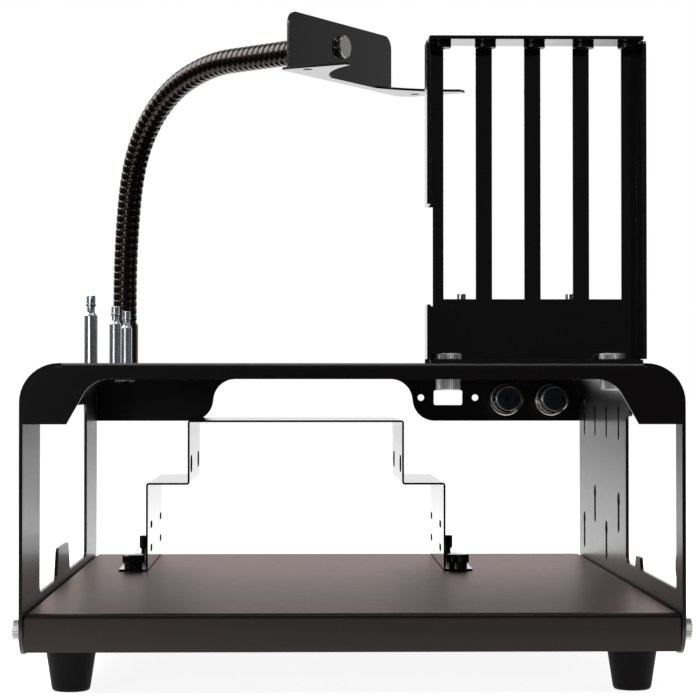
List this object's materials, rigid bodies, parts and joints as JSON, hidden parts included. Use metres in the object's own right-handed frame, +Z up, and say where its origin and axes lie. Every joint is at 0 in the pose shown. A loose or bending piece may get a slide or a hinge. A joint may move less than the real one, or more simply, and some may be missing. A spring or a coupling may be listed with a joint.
{
  "type": "open air test bench",
  "caption": "Open air test bench: folded steel table on a tray with feet, card bracket, motherboard standoffs, drive bracket, push switches and a flexible arm that holds a fan plate.",
  "frame": {"origin": "centre of the bounding box at floor level, on the soles of the feet", "axes": "+X to the right seen from the card bracket side, +Y from there to the switch side, +Z up"},
  "size_m": [0.2768, 0.3496, 0.3003],
  "materials": {
    "black_coat": "smooth satin powder coat",
    "arm_black": "glossy black oxide",
    "rubber": "matt moulded rubber",
    "zinc": "bright zinc plating",
    "bright_steel": "nickel plating, knurled rims",
    "dark_steel": "black nickel plating",
    "blue_plastic": "moulded plastic"
  },
  "bodies": {
    "bench": {"top_frame": "black_coat", "base_tray": "black_coat", "card_bracket": "black_coat", "drive_bracket": "black_coat", "foot_1": "rubber", "foot_2": "rubber", "foot_3": "rubber", "foot_4": "rubber", "foot_screws": "zinc", "foot_nuts": "zinc", "side_thumbscrews": "bright_steel", "side_nuts": "zinc", "card_thumbscrews": "bright_steel", "card_thumb_nuts": "bright_steel", "card_clinch_nuts": "black_coat", "standoffs": "zinc", "standoff_nuts": "zinc", "arm_ferrule": "arm_black", "arm_hose": "arm_black", "arm_nut": "zinc", "arm_tip": "arm_black", "fan_thumbscrew": "bright_steel", "drive_front_screws": "dark_steel", "drive_rear_screws": "dark_steel", "drive_nuts": "zinc", "power_barrel": "bright_steel", "power_nut": "bright_steel", "power_terminal": "blue_plastic", "reset_barrel": "bright_steel", "reset_nut": "bright_steel", "reset_terminal": "blue_plastic"},
    "power_button": {"power_button": "bright_steel"},
    "reset_button": {"reset_button": "bright_steel"},
    "fan_swivel": {"fan_plate": "black_coat"}
  },
  "joints": [
    {"name": "power_press", "type": "slide", "parent": "bench", "child": "power_button", "axis": [0, -1, 0], "range_m": [0, 0.0015], "stiffness_N_per_m": 600, "springref_m": -0.0015},
    {"name": "reset_press", "type": "slide", "parent": "bench", "child": "reset_button", "axis": [0, -1, 0], "range_m": [0, 0.0015], "stiffness_N_per_m": 600, "springref_m": -0.0015},
    {"name": "fan_tilt", "type": "hinge", "parent": "bench", "child": "fan_swivel", "pos_m": [-0.00157, 0.00539, 0.28885], "axis": [0.8572, -0.515, 0], "range_deg": [-90, 90]}
  ]
}
